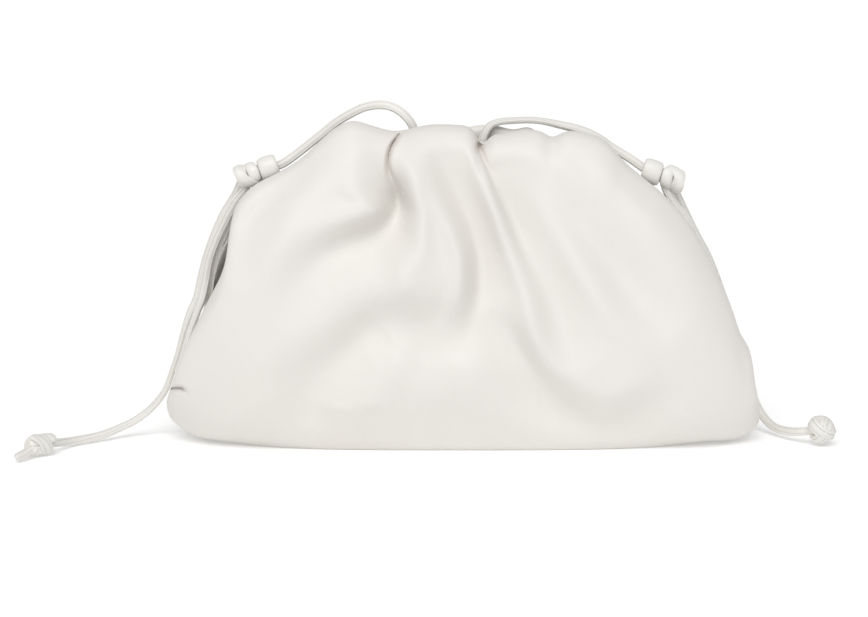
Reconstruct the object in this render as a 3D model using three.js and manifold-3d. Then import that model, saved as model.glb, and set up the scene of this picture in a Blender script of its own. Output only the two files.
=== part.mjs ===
// A small soft leather pouch bag: one gathered leather shell whose mouth closes between two
// rolled lips, and a thin leather strap that is tucked into the mouth and tied at both shoulders.
// Millimetres, +Z up, the front faces -Y. The origin is the middle of the base, on the surface
// that the bag stands on.

import * as THREE from "three";
import { mergeVertices } from "three/addons/utils/BufferGeometryUtils.js";
import Module from "manifold-3d";

const wasm = await Module();
wasm.setup();

// Sizes of the pouch
const pouchWidth = 220;
const pouchHeight = 119;
const bellyDepth = 62;
const baseDepth = 38;
const baseWidth = 176;
const leatherWall = 2;
const lipThickness = 5;
const lipReach = 6;
const mouthGap = 5;
const mouthEndMargin = 3;
const backLipDrop = 3.8;

// Sizes of the strap and its knots, and the gap that touching pieces keep
const strapWidth = 3.2;
const sliderKnotWidth = 9.2;
const sliderLumpLength = 8.2;
const leftEndKnotWidth = 8;
const leftEndKnotLength = 11;
const rightEndKnotWidth = 11.2;
const rightEndKnotLength = 10.4;
const clearance = 0.3;

// How finely the faces follow the shape
const columns = 60;
const panelRows = 12;
const baseRows = 1;
const foldSamples = 12;
const strapSides = 8;
const knotSides = 14;
const wrapSteps = 4;

// The edge of the mouth from the left hinge over the top to the right hinge, seen from the front:
// x as a share of half the width, z as a share of the height
const mouthStations = [
  { x: -0.95, z: 0.179 },
  { x: -0.912, z: 0.323 },
  { x: -0.87, z: 0.436 },
  { x: -0.81, z: 0.615 },
  { x: -0.755, z: 0.746 },
  { x: -0.69, z: 0.804 },
  { x: -0.61, z: 0.843 },
  { x: -0.535, z: 0.887 },
  { x: -0.475, z: 0.938 },
  { x: -0.42, z: 0.98 },
  { x: -0.37, z: 1.0 },
  { x: -0.3, z: 0.995 },
  { x: -0.2, z: 0.989 },
  { x: -0.1, z: 0.99 },
  { x: 0.0, z: 0.986 },
  { x: 0.1, z: 0.98 },
  { x: 0.2, z: 0.973 },
  { x: 0.3, z: 0.971 },
  { x: 0.38, z: 0.966 },
  { x: 0.44, z: 0.95 },
  { x: 0.48, z: 0.926 },
  { x: 0.525, z: 0.879 },
  { x: 0.6, z: 0.819 },
  { x: 0.65, z: 0.782 },
  { x: 0.755, z: 0.671 },
  { x: 0.86, z: 0.464 },
  { x: 0.915, z: 0.353 },
  { x: 0.955, z: 0.29 },
  { x: 0.967, z: 0.2 },
];

// The outline of each end below its hinge, down to the end of the base, in the same shares
const leftEndStations = [
  { x: -0.95, z: 0.179 },
  { x: -0.982, z: 0.16 },
  { x: -1.0, z: 0.12 },
  { x: -0.992, z: 0.075 },
  { x: -0.96, z: 0.042 },
  { x: -0.895, z: 0.01 },
];
const rightEndStations = [
  { x: 0.967, z: 0.2 },
  { x: 0.981, z: 0.15 },
  { x: 1.0, z: 0.09 },
  { x: 0.99, z: 0.045 },
  { x: 0.94, z: 0.008 },
];

// How blunt the two ends are in plan: a high power keeps the depth almost to the end
const lipBluntness = 14;
const bellyBluntness = 3.2;

// Where the belly is fullest, as a share of the way from the mouth down to the base, and how
// quickly the shoulder swells below the lip: a lower power swells sooner
const bellyAt = 0.66;
const shoulderPower = 0.62;

// The lips' waves grow from nothing at each hinge over a twelfth of the mouth's length
const hingeReach = 12;

// Waves in the edge of each lip: at is a share of the mouth's length, width too, and pull is how
// far the lip is drawn in towards the bag, in shares of the height
const lipWaves = [
  { side: "front", at: 0.15, width: 0.05, pull: 0.032 },
  { side: "front", at: 0.43, width: 0.028, pull: 0.021 },
  { side: "front", at: 0.53, width: 0.01, pull: 0.045 },
  { side: "front", at: 0.547, width: 0.02, pull: 0.025 },
  { side: "front", at: 0.6085, width: 0.011, pull: 0.02 },
  { side: "back", at: 0.33, width: 0.02, pull: 0.012 },
  { side: "back", at: 0.45, width: 0.018, pull: 0.012 },
  { side: "back", at: 0.539, width: 0.035, pull: -0.018 },
  { side: "back", at: 0.66, width: 0.02, pull: 0.014 },
  { side: "back", at: 0.78, width: 0.02, pull: 0.02 },
];

// Folds that run down each panel from the gathers: from, bend and to are points of a curve seen
// from the front, in shares of half the width and of the height; widths and depth are shares of
// the height. A negative depth is a ridge.
const folds = [
  { side: "front", depth: 0.085, topWidth: 0.06, endWidth: 0.16,
    fromX: -0.21, fromZ: 1.0, bendX: -0.2, bendZ: 0.66, toX: -0.6, toZ: 0.4 },
  { side: "front", depth: 0.09, topWidth: 0.05, endWidth: 0.15,
    fromX: 0.06, fromZ: 0.97, bendX: 0.1, bendZ: 0.68, toX: 0.4, toZ: 0.25 },
  { side: "front", depth: 0.035, topWidth: 0.06, endWidth: 0.12,
    fromX: -0.05, fromZ: 0.9, bendX: -0.01, bendZ: 0.7, toX: 0.03, toZ: 0.4 },
  { side: "front", depth: 0.04, topWidth: 0.06, endWidth: 0.14,
    fromX: 0.26, fromZ: 0.92, bendX: 0.36, bendZ: 0.72, toX: 0.6, toZ: 0.42 },
  { side: "front", depth: 0.03, topWidth: 0.06, endWidth: 0.12,
    fromX: -0.62, fromZ: 0.8, bendX: -0.72, bendZ: 0.6, toX: -0.78, toZ: 0.35 },
  { side: "back", depth: 0.06, topWidth: 0.05, endWidth: 0.15,
    fromX: -0.34, fromZ: 1.0, bendX: -0.42, bendZ: 0.75, toX: -0.6, toZ: 0.3 },
  { side: "back", depth: 0.075, topWidth: 0.05, endWidth: 0.15,
    fromX: -0.1, fromZ: 1.0, bendX: -0.12, bendZ: 0.7, toX: -0.22, toZ: 0.3 },
  { side: "back", depth: 0.075, topWidth: 0.05, endWidth: 0.16,
    fromX: 0.16, fromZ: 1.0, bendX: 0.18, bendZ: 0.72, toX: 0.3, toZ: 0.28 },
  { side: "back", depth: 0.05, topWidth: 0.05, endWidth: 0.14,
    fromX: 0.42, fromZ: 0.95, bendX: 0.5, bendZ: 0.7, toX: 0.66, toZ: 0.35 },
];

// The strap's route from the left slider knot over the left shoulder, down into the mouth, round
// inside the bag, out again and over the right shoulder to the right slider knot
const strapRoute = [
  [-69.6, 0.8, 101.3],
  [-66.1, 1.8, 102.7],
  [-61.4, 3.2, 105.8],
  [-56, 4.2, 110],
  [-51.4, 4.4, 113.6],
  [-48, 4.4, 116.4],
  [-45.2, 4.4, 118.4],
  [-40.9, 4.2, 120.9],
  [-37, 3.8, 122.8],
  [-33, 3.2, 123.8],
  [-29.8, 2.4, 124],
  [-26.6, 1.6, 123.5],
  [-23.2, 0.8, 121.8],
  [-20.5, 0.2, 119.3],
  [-18.5, 0, 116],
  [-17.6, 0, 106],
  [-17.4, 0, 92],
  [-14, 0, 81],
  [-5.5, 0, 76],
  [3, 0, 81],
  [6, 0, 92],
  [6.4, 0, 104],
  [7, 0.4, 112],
  [9.4, 1.4, 116.4],
  [12.5, 2.4, 117.7],
  [18.3, 3.4, 118.2],
  [24.9, 3.8, 118.3],
  [29.3, 4, 117.8],
  [35.9, 4.2, 116.4],
  [40.7, 4.2, 115.3],
  [45.5, 4.2, 113.7],
  [49.3, 4, 111.9],
  [53.7, 4.2, 108.7],
  [58.3, 3.4, 105.9],
  [61.6, 2.4, 103.9],
  [66.9, 0.8, 100.2],
];

// Each anchor strand runs from its slider knot down the open side of the mouth and dives between
// the lips just above the hinge
const leftAnchorRoute = [
  [-78.9, 0.2, 95.8],
  [-80.4, 0, 92.8],
  [-83.3, 0, 89.2],
  [-85.5, 0, 85.7],
  [-87.5, 0, 82],
  [-89.4, 0, 78.3],
  [-91.1, 0, 74.6],
  [-93.8, 0, 67.2],
  [-95.2, 0, 59.7],
  [-96.4, 0, 53],
  [-98.1, 0, 48.3],
  [-99.7, 0, 44],
  [-101, 0, 40.4],
  [-102.3, 0, 36.1],
  [-103.4, 0, 32.3],
  [-104.9, 0, 28],
  [-106, 0, 25.2],
];
const rightAnchorRoute = [
  [73.6, 0.2, 94.4],
  [75.4, 0, 90.6],
  [77.4, 0, 87.3],
  [80.3, 0, 83.8],
  [82.4, 0, 80.2],
  [84.4, 0, 76.2],
  [86.4, 0, 72],
  [88.4, 0, 67.4],
  [90.6, 0, 62.4],
  [92.8, 0, 56.8],
  [95, 0, 51],
  [97, 0, 45.2],
  [99, 0, 39.5],
  [100.5, 0, 34.6],
  [101.3, 0, 30],
  [101.3, 0, 25],
];

// Each tail runs from its slider knot down the outside of the back lip, lies down on the surface
// beside the bag and ends in an end knot
const leftTailRoute = [
  [-81.7, 2.8, 95.4],
  [-83.4, 3.3, 91.6],
  [-85.2, 3.4, 88.6],
  [-87.4, 3.4, 85.2],
  [-89.3, 3.4, 81.5],
  [-92.5, 3.4, 74.1],
  [-95, 3.4, 66.7],
  [-97, 3.4, 59.2],
  [-98.6, 3.4, 52.4],
  [-101, 3.4, 47.2],
  [-103.7, 3.4, 39.8],
  [-105.9, 3.4, 31.7],
  [-108.5, 3.5, 24.1],
  [-111, 3.8, 17.6],
  [-115.5, 3.9, 11.6],
  [-121.9, 2.8, 6.5],
  [-128, -0.6, 4],
  [-133.7, -5.2, 2.5],
  [-137.9, -8.4, 2.1],
  [-142.1, -12.2, 2.1],
  [-145.4, -16.6, 2.5],
  [-147.9, -21.4, 3.4],
  [-150.4, -25.4, 4],
];
const rightTailRoute = [
  [76.6, 3.2, 94.2],
  [78.4, 4, 90.6],
  [80.4, 5, 86.6],
  [83, 7.2, 81.4],
  [86.4, 9.6, 75],
  [90.8, 12, 67.2],
  [94, 13.6, 60],
  [96.9, 14.8, 52.4],
  [100.2, 16, 44],
  [103, 16.6, 35.6],
  [105.4, 16.6, 27],
  [107.6, 16, 19],
  [109.6, 14.6, 12.6],
  [111.4, 12.5, 8.4],
  [113.3, 10, 5.6],
  [115.2, 7, 3.8],
  [117.1, 3, 3.1],
  [119.3, -1, 3.2],
  [121.7, -4.6, 3.6],
  [124.7, -8, 4.5],
  [128.4, -10.1, 5.4],
];

// The strap's short tip sticks out of the left end knot and lies in front of it
const leftTipRoute = [
  [-154.4, -30, 3.7],
  [-156.3, -33.5, 3.1],
  [-158, -36.5, 2.4],
  [-159.8, -39, 2],
];

// Where each knot's middle lies, and the direction that its wraps are wound along
const leftSliderKnot = { middle: [-75.4, 0.5, 99.6], along: [0.94, 0.02, 0.33] };
const rightSliderKnot = { middle: [72.8, 0.5, 98.3], along: [0.94, -0.02, -0.31] };
const leftEndKnot = { middle: [-153, -28.2, 4.3], along: [0.7, 0.71, -0.06] };
const rightEndKnot = { middle: [131, -11.5, 5.9], along: [0.86, -0.46, 0.2] };

const flatCurve = (stations) =>
  new THREE.CatmullRomCurve3(
    stations.map((row) => new THREE.Vector3((row.x * pouchWidth) / 2, 0, row.z * pouchHeight)),
    false,
    "centripetal",
  );

const mouthCurve = flatCurve(mouthStations);
const leftEndCurve = flatCurve([...leftEndStations, { x: -baseWidth / pouchWidth, z: 0 }]);
const rightEndCurve = flatCurve([...rightEndStations, { x: baseWidth / pouchWidth, z: 0 }]);

const mix = (a, b, share) => a + (b - a) * share;
const smooth = (share) => THREE.MathUtils.smoothstep(share, 0, 1);
const bell = (distance, width) => Math.exp(-((distance / width) ** 2));

// How far a lip is drawn in at a share of the mouth's length: not at all at the hinges
function pullAt(side, along) {
  const freeOfHinge = smooth(along * hingeReach) * smooth((1 - along) * hingeReach);
  const drop = side === "back" ? backLipDrop : 0;
  const pull = lipWaves
    .filter((row) => row.side === side)
    .reduce((sum, row) => sum + row.pull * pouchHeight * bell(along - row.at, row.width), drop);
  return pull * freeOfHinge;
}

// A point on the mouth's edge; the inner skin's mouth is shorter at both ends and a little lower
function mouthPoint(side, along, inner) {
  const margin = inner ? mouthEndMargin / mouthCurve.getLength() : 0;
  const share = mix(margin, 1 - margin, along);
  const point = mouthCurve.getPointAt(share);
  const tangent = mouthCurve.getTangentAt(share);
  const inward = new THREE.Vector3(tangent.z, 0, -tangent.x);
  const drop = pullAt(side, along) + (inner ? lipThickness / 8 : 0);
  return point.addScaledVector(inward, drop);
}

// A point of one end's outline; the inner skin's outline keeps the wall's thickness from it
function endPoint(side, curve, end, down, inner) {
  const point = curve.getPointAt(down);
  if (!inner) return point;
  const top = mouthPoint(side, end, true).sub(curve.getPointAt(0));
  const bottom = new THREE.Vector3(end ? -leatherWall : leatherWall, 0, leatherWall);
  return point.add(top.lerp(bottom, down));
}

// A point of the panel seen from the front: along runs over the mouth, down from it to the base,
// and the patch is blended from the mouth, the two ends and the base line
function frontView(side, along, down, inner) {
  const left = endPoint(side, leftEndCurve, 0, down, inner);
  const right = endPoint(side, rightEndCurve, 1, down, inner);
  const mouth = mouthPoint(side, along, inner);
  const mouthLeft = mouthPoint(side, 0, inner);
  const mouthRight = mouthPoint(side, 1, inner);
  const baseLeft = endPoint(side, leftEndCurve, 0, 1, inner);
  const baseRight = endPoint(side, rightEndCurve, 1, 1, inner);
  const base = baseLeft.clone().lerp(baseRight, along);
  const corners = mouthLeft
    .lerp(mouthRight, along)
    .lerp(baseLeft.clone().lerp(baseRight, along), down);
  return left.lerp(right, along).add(mouth.lerp(base, down)).sub(corners);
}

// Half the depth of the outer skin in the middle of the bag: a rounded lip, a shoulder that
// swells to the belly, and a rounded fall to the base
function halfDepth(down) {
  const lipRadius = lipThickness / 2;
  const lipFace = mouthGap / 2 + lipThickness;
  const belowCrest = Math.min((down * pouchHeight) / lipRadius, 1);
  if (down > bellyAt) {
    const fall = (down - bellyAt) / (1 - bellyAt);
    return mix(baseDepth / 2, bellyDepth / 2, Math.sqrt(1 - fall ** 2));
  }
  const crest = mouthGap / 2 + lipRadius * (1 + Math.sqrt(1 - (1 - belowCrest) ** 2));
  const swell = Math.sin(((down / bellyAt) ** shoulderPower * Math.PI) / 2);
  return crest + (bellyDepth / 2 - lipFace) * swell;
}

function endTaper(along, down) {
  const power = mix(lipBluntness, bellyBluntness, smooth(down * 4));
  return Math.sqrt(Math.max(0, 1 - Math.abs(2 * along - 1) ** power));
}

const foldPoint = (x, z) => new THREE.Vector2((x * pouchWidth) / 2, z * pouchHeight);
for (const fold of folds) {
  const from = foldPoint(fold.fromX, fold.fromZ);
  const bend = foldPoint(fold.bendX, fold.bendZ);
  const to = foldPoint(fold.toX, fold.toZ);
  fold.line = new THREE.QuadraticBezierCurve(from, bend, to).getPoints(foldSamples);
}

// How far a point lies from a fold's line, and how far along the line that is
function foldDistance(fold, x, z) {
  let best = { distance: Infinity, share: 0 };
  for (let i = 0; i < foldSamples; i++) {
    const start = fold.line[i];
    const stepX = fold.line[i + 1].x - start.x;
    const stepZ = fold.line[i + 1].y - start.y;
    const dot = (x - start.x) * stepX + (z - start.y) * stepZ;
    const share = THREE.MathUtils.clamp(dot / (stepX ** 2 + stepZ ** 2), 0, 1);
    const distance = Math.hypot(x - start.x - share * stepX, z - start.y - share * stepZ);
    if (distance < best.distance) best = { distance, share: (i + share) / foldSamples };
  }
  return best;
}

function foldDepth(side, x, z, down) {
  const grown = smooth(down * 6) * smooth((1 - down) * 5);
  return folds
    .filter((fold) => fold.side === side)
    .reduce((sum, fold) => {
      const { distance, share } = foldDistance(fold, x, z);
      const width = mix(fold.topWidth, fold.endWidth, share) * pouchHeight;
      const fade = Math.cos((share * Math.PI) / 2);
      return sum + fold.depth * pouchHeight * fade * grown * bell(distance, width);
    }, 0);
}

// A point of the shell's outer or inner skin
function skinPoint(side, along, down, inner) {
  const outerView = frontView(side, along, down, false);
  const lipFace = mouthGap / 2 + lipThickness / 2;
  const swollen = halfDepth(down) - foldDepth(side, outerView.x, outerView.z, down);
  const outer = Math.max(swollen, Math.min(lipFace, halfDepth(down)));
  const point = inner ? frontView(side, along, down, true) : outerView;
  const belowLip = smooth((down * pouchHeight - lipReach) / lipThickness);
  const depth = inner ? mix(mouthGap / 2, outer - leatherWall, belowLip) : outer;
  point.y = (side === "front" ? -1 : 1) * depth * endTaper(along, down);
  return point;
}

// The rows from the front lip down to the base, across it, and up to the back lip
function sectionRows() {
  const panel = Array.from({ length: panelRows }, (_, row) => ({
    down: 0.5 - 0.5 * Math.cos((Math.PI * row) / panelRows),
    across: 1,
  }));
  const base = Array.from({ length: baseRows }, (_, row) => ({
    down: 1,
    across: 1 - row / baseRows,
  }));
  const half = [...panel, ...base];
  return [
    ...half.map((row) => ({ side: "front", ...row })),
    { side: "front", down: 1, across: 0 },
    ...half.reverse().map((row) => ({ side: "back", ...row })),
  ];
}

// One closed shell: the outer skin, the inner skin and the crest of the lips between them
function pouchGeometry() {
  const rows = sectionRows();
  const positions = [];
  const addTriangle = (a, b, c) => positions.push(...a.toArray(), ...b.toArray(), ...c.toArray());
  const addQuad = (a, b, c, d) => {
    addTriangle(a, b, c);
    addTriangle(a, c, d);
  };
  const grid = (inner) =>
    Array.from({ length: columns + 1 }, (_, column) =>
      rows.map((row) => {
        const along = column / columns;
        const point = skinPoint(row.side, along, row.down, inner);
        point.y *= row.across;
        if (column === 0 || column === columns) point.y = 0;
        return point;
      }),
    );
  const outer = grid(false);
  const inner = grid(true);
  const last = rows.length - 1;
  for (let i = 0; i < columns; i++) {
    for (let j = 0; j < last; j++) {
      addQuad(outer[i][j], outer[i][j + 1], outer[i + 1][j + 1], outer[i + 1][j]);
      addQuad(inner[i + 1][j], inner[i + 1][j + 1], inner[i][j + 1], inner[i][j]);
    }
    addQuad(outer[i][0], outer[i + 1][0], inner[i + 1][0], inner[i][0]);
    addQuad(outer[i + 1][last], outer[i][last], inner[i][last], inner[i + 1][last]);
  }
  const loose = new THREE.BufferGeometry();
  loose.setAttribute("position", new THREE.Float32BufferAttribute(positions, 3));
  return loose;
}

// A geometry as a solid that can be joined and cut, and back
function toSolid(geometry) {
  const bare = new THREE.BufferGeometry();
  bare.setAttribute("position", geometry.getAttribute("position"));
  if (geometry.index) bare.setIndex(geometry.index);
  const merged = mergeVertices(bare);
  const corners = merged.index.array;
  const faces = [];
  for (let i = 0; i < corners.length; i += 3) {
    const [a, b, c] = corners.slice(i, i + 3);
    if (a !== b && b !== c && c !== a) faces.push(a, b, c);
  }
  const vertProperties = new Float32Array(merged.getAttribute("position").array);
  const triVerts = new Uint32Array(faces);
  return new wasm.Manifold(new wasm.Mesh({ numProp: 3, vertProperties, triVerts }));
}

function toGeometry(solid) {
  const { vertProperties, triVerts } = solid.getMesh();
  const geometry = new THREE.BufferGeometry();
  geometry.setAttribute("position", new THREE.Float32BufferAttribute(vertProperties, 3));
  geometry.setIndex(Array.from(triVerts));
  return geometry;
}

// A strap along a route; reach makes it that much longer at both ends
function strapGeometry(route, width, reach = 0) {
  const points = route.map((point) => new THREE.Vector3(...point));
  const last = points.length - 1;
  const startStep = points[0].clone().sub(points[1]).setLength(reach);
  const endStep = points[last].clone().sub(points[last - 1]).setLength(reach);
  points[0].add(startStep);
  points[last].add(endStep);
  const path = new THREE.CatmullRomCurve3(points, false, "centripetal");
  const corners = Array.from({ length: strapSides }, (_, side) => {
    const angle = (2 * Math.PI * side) / strapSides;
    return new THREE.Vector2(Math.cos(angle), Math.sin(angle)).multiplyScalar(width / 2);
  });
  const steps = Math.round(path.getLength() / (2 * strapWidth));
  return new THREE.ExtrudeGeometry(new THREE.Shape(corners), {
    extrudePath: path,
    steps,
    bevelEnabled: false,
  });
}

// One wrapped lump of a knot, on the Y axis: a barrel that swells at each wrap of the strap
const barrelEndShare = 0.55;
const grooveShare = 0.1;
function lumpGeometry(width, length, wraps) {
  const steps = wraps * wrapSteps;
  const edge = Array.from({ length: steps + 1 }, (_, step) => {
    const share = step / steps;
    const crown = Math.sqrt(1 - (1 - barrelEndShare ** 2) * Math.abs(2 * share - 1) ** 3);
    const groove = 1 - grooveShare * Math.cos(share * wraps * Math.PI) ** 4;
    return new THREE.Vector2((crown * groove * width) / 2, (share - 0.5) * length);
  });
  const bottom = new THREE.Vector2(0, -length / 2);
  const top = new THREE.Vector2(0, length / 2);
  return new THREE.LatheGeometry([bottom, ...edge, top], knotSides);
}

// A knot: its lumps lie one after the other along its direction, a tip of strap may stick out of
// it, and each strap that enters it has a socket with a clearance round it
function knotGeometry(knot, lumps, routes, tip) {
  const middle = new THREE.Vector3(...knot.middle);
  const along = new THREE.Vector3(...knot.along).normalize();
  const turn = new THREE.Quaternion().setFromUnitVectors(new THREE.Vector3(0, 1, 0), along);
  let solid = null;
  for (const { at, width, length, wraps } of lumps) {
    const place = middle.clone().addScaledVector(along, at);
    const matrix = new THREE.Matrix4().compose(place, turn, new THREE.Vector3(1, 1, 1));
    const lump = toSolid(lumpGeometry(width, length, wraps).applyMatrix4(matrix));
    solid = solid ? solid.add(lump) : lump;
  }
  if (tip) solid = solid.add(toSolid(strapGeometry(tip, strapWidth)));
  for (const route of routes) {
    solid = solid.subtract(toSolid(strapGeometry(route, strapWidth + 2 * clearance, clearance)));
  }
  return toGeometry(solid);
}

const sliderLumps = [
  { at: -sliderLumpLength / 2, width: sliderKnotWidth, length: sliderLumpLength, wraps: 2 },
  { at: sliderLumpLength / 2, width: sliderKnotWidth, length: sliderLumpLength, wraps: 2 },
];
const leftEndLumps = [{ at: 0, width: leftEndKnotWidth, length: leftEndKnotLength, wraps: 3 }];
const rightEndLumps = [{ at: 0, width: rightEndKnotWidth, length: rightEndKnotLength, wraps: 2 }];

// Colours and finishes
const leather = new THREE.MeshStandardMaterial({ color: 0xece9e2, roughness: 0.55, metalness: 0 });
const strapLeather = new THREE.MeshStandardMaterial({ color: 0xe9e6df, roughness: 0.45, metalness: 0 });

const bag = new THREE.Group();

function addPiece(name, geometry, material) {
  const mesh = new THREE.Mesh(geometry, material);
  mesh.name = name;
  bag.add(mesh);
}

addPiece("pouch_body", pouchGeometry(), leather);
addPiece("strap", strapGeometry(strapRoute, strapWidth), strapLeather);
addPiece("left_anchor_strand", strapGeometry(leftAnchorRoute, strapWidth), strapLeather);
addPiece("right_anchor_strand", strapGeometry(rightAnchorRoute, strapWidth), strapLeather);
addPiece("left_tail", strapGeometry(leftTailRoute, strapWidth), strapLeather);
addPiece("right_tail", strapGeometry(rightTailRoute, strapWidth), strapLeather);
addPiece(
  "left_slider_knot",
  knotGeometry(leftSliderKnot, sliderLumps, [strapRoute, leftAnchorRoute, leftTailRoute]),
  strapLeather,
);
addPiece(
  "right_slider_knot",
  knotGeometry(rightSliderKnot, sliderLumps, [strapRoute, rightAnchorRoute, rightTailRoute]),
  strapLeather,
);
addPiece(
  "left_end_knot",
  knotGeometry(leftEndKnot, leftEndLumps, [leftTailRoute], leftTipRoute),
  strapLeather,
);
addPiece("right_end_knot", knotGeometry(rightEndKnot, rightEndLumps, [rightTailRoute]), strapLeather);

export default bag;
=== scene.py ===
import math

import bpy
import numpy as np
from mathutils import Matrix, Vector


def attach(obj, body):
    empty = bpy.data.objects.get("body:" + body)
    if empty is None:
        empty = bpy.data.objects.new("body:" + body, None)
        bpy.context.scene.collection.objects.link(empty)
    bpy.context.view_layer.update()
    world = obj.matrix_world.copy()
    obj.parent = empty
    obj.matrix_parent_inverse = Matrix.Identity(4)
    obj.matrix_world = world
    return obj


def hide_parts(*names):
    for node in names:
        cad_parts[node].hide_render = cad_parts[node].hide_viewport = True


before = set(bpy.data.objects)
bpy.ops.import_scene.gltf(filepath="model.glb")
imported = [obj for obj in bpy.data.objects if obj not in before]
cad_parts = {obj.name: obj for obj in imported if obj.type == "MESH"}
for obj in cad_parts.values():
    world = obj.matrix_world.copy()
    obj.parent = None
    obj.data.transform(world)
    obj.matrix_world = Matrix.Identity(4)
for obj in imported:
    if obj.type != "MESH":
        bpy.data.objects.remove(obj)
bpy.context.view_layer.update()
millimetre = 0.001


# The camera stands where the photographer's did: about nine tenths of a metre in front of the bag
# and a little above it, with a long lens, so the two shoulders show almost without perspective.
camera_elevation = math.radians(10)
camera_distance = 0.889
camera_target = Vector((-0.0109, 0.0, 0.0491))
lens_width = 36
lens_length = 100

camera = bpy.data.objects.new("camera", bpy.data.cameras.new("camera"))
camera.data.sensor_width = lens_width
camera.data.lens = lens_length
towards_camera = Vector((0, -math.cos(camera_elevation), math.sin(camera_elevation)))
camera.location = camera_target + towards_camera * camera_distance
camera.rotation_euler = (-towards_camera).to_track_quat("-Z", "Y").to_euler()
bpy.context.scene.collection.objects.link(camera)
bpy.context.scene.camera = camera


# The strap is one narrow strip of the bag's leather, folded so that its raw edges meet inside, and
# pressed flat. It is tucked into the mouth in the middle, and each half comes out over a shoulder,
# is knotted to itself, goes down to the mouth's lower corner and leaves a loose tail beside the bag.
strip_width = 3.2 * millimetre
strip_thickness = 2.0 * millimetre
strip_ring_step = 0.8 * millimetre
press_line_depth = 0.22
press_line_place = 0.55
press_line_width = 0.11
strip_corner_power = 0.6
strip_profile_points = 36
route_curve_steps = 24

# Where each strip runs, in millimetres
strip_routes = {
    "strap": [
        (-69.6, 0.8, 101.3), (-66.1, 1.8, 102.7), (-61.4, 3.2, 105.8), (-56.0, 4.2, 110.0),
        (-51.4, 4.4, 113.6), (-48.0, 4.4, 116.4), (-45.2, 4.4, 118.4), (-40.9, 4.2, 120.9),
        (-37.0, 3.8, 122.8), (-33.0, 3.2, 123.8), (-29.8, 2.4, 124.0), (-26.6, 1.6, 123.5),
        (-23.2, 0.8, 121.8), (-20.5, 0.2, 119.3), (-18.5, 0.0, 116.0), (-17.6, 0.0, 106.0),
        (-17.4, 0.0, 92.0), (-14.0, 0.0, 81.0), (-5.5, 0.0, 76.0), (3.0, 0.0, 81.0),
        (6.0, 0.0, 92.0), (6.4, 0.0, 104.0), (7.0, 0.4, 112.0), (9.4, 1.4, 116.4),
        (12.5, 2.4, 117.7), (18.3, 3.4, 118.2), (24.9, 3.8, 118.3), (29.3, 4.0, 117.8),
        (35.9, 4.2, 116.4), (40.7, 4.2, 115.3), (45.5, 4.2, 113.7), (49.3, 4.0, 111.9),
        (53.7, 4.2, 108.7), (58.3, 3.4, 105.9), (61.6, 2.4, 103.9), (66.9, 0.8, 100.2),
    ],
    "left_anchor_strand": [
        (-78.9, 0.2, 95.8), (-80.4, 0.0, 92.8), (-83.3, 0.0, 89.2), (-85.5, 0.0, 85.7),
        (-87.5, 0.0, 82.0), (-89.4, 0.0, 78.3), (-91.1, 0.0, 74.6), (-93.8, 0.0, 67.2),
        (-95.2, 0.0, 59.7), (-96.4, 0.0, 53.0), (-98.1, 0.0, 48.3), (-99.7, 0.0, 44.0),
        (-101.0, 0.0, 40.4), (-102.3, 0.0, 36.1), (-103.4, 0.0, 32.3), (-104.9, 0.0, 28.0),
        (-106.0, 0.0, 25.2),
    ],
    "right_anchor_strand": [
        (73.6, 0.2, 94.4), (75.4, 0.0, 90.6), (77.4, 0.0, 87.3), (80.3, 0.0, 83.8),
        (82.4, 0.0, 80.2), (84.4, 0.0, 76.2), (86.4, 0.0, 72.0), (88.4, 0.0, 67.4),
        (90.6, 0.0, 62.4), (92.8, 0.0, 56.8), (95.0, 0.0, 51.0), (97.0, 0.0, 45.2),
        (99.0, 0.0, 39.5), (100.5, 0.0, 34.6), (101.3, 0.0, 30.0), (101.3, 0.0, 25.0),
    ],
    "left_tail": [
        (-81.7, 2.8, 95.4), (-83.4, 3.3, 91.6), (-85.2, 3.4, 88.6), (-87.4, 3.4, 85.2),
        (-89.3, 3.4, 81.5), (-92.5, 3.4, 74.1), (-95.0, 3.4, 66.7), (-97.0, 3.4, 59.2),
        (-98.6, 3.4, 52.4), (-101.0, 3.4, 47.2), (-103.7, 3.4, 39.8), (-105.9, 3.4, 31.7),
        (-108.5, 3.5, 24.1), (-111.0, 3.8, 17.6), (-115.5, 3.9, 11.6), (-121.9, 2.8, 6.5),
        (-128.0, -0.6, 4.0), (-133.7, -5.2, 2.5), (-137.9, -8.4, 2.1), (-142.1, -12.2, 2.1),
        (-145.4, -16.6, 2.5), (-147.9, -21.4, 3.4), (-150.4, -25.4, 4.0),
    ],
    "right_tail": [
        (76.6, 3.2, 94.2), (78.4, 4.0, 90.6), (80.4, 5.0, 86.6), (83.0, 7.2, 81.4),
        (86.4, 9.6, 75.0), (90.8, 12.0, 67.2), (94.0, 13.6, 60.0), (96.9, 14.8, 52.4),
        (100.2, 16.0, 44.0), (103.0, 16.6, 35.6), (105.4, 16.6, 27.0), (107.6, 16.0, 19.0),
        (109.6, 14.6, 12.6), (111.4, 12.5, 8.4), (113.3, 10.0, 5.6), (115.2, 7.0, 3.8),
        (117.1, 3.0, 3.1), (119.3, -1.0, 3.2), (121.7, -4.6, 3.6), (124.7, -8.0, 4.5),
        (128.4, -10.1, 5.4),
    ],
}

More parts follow.
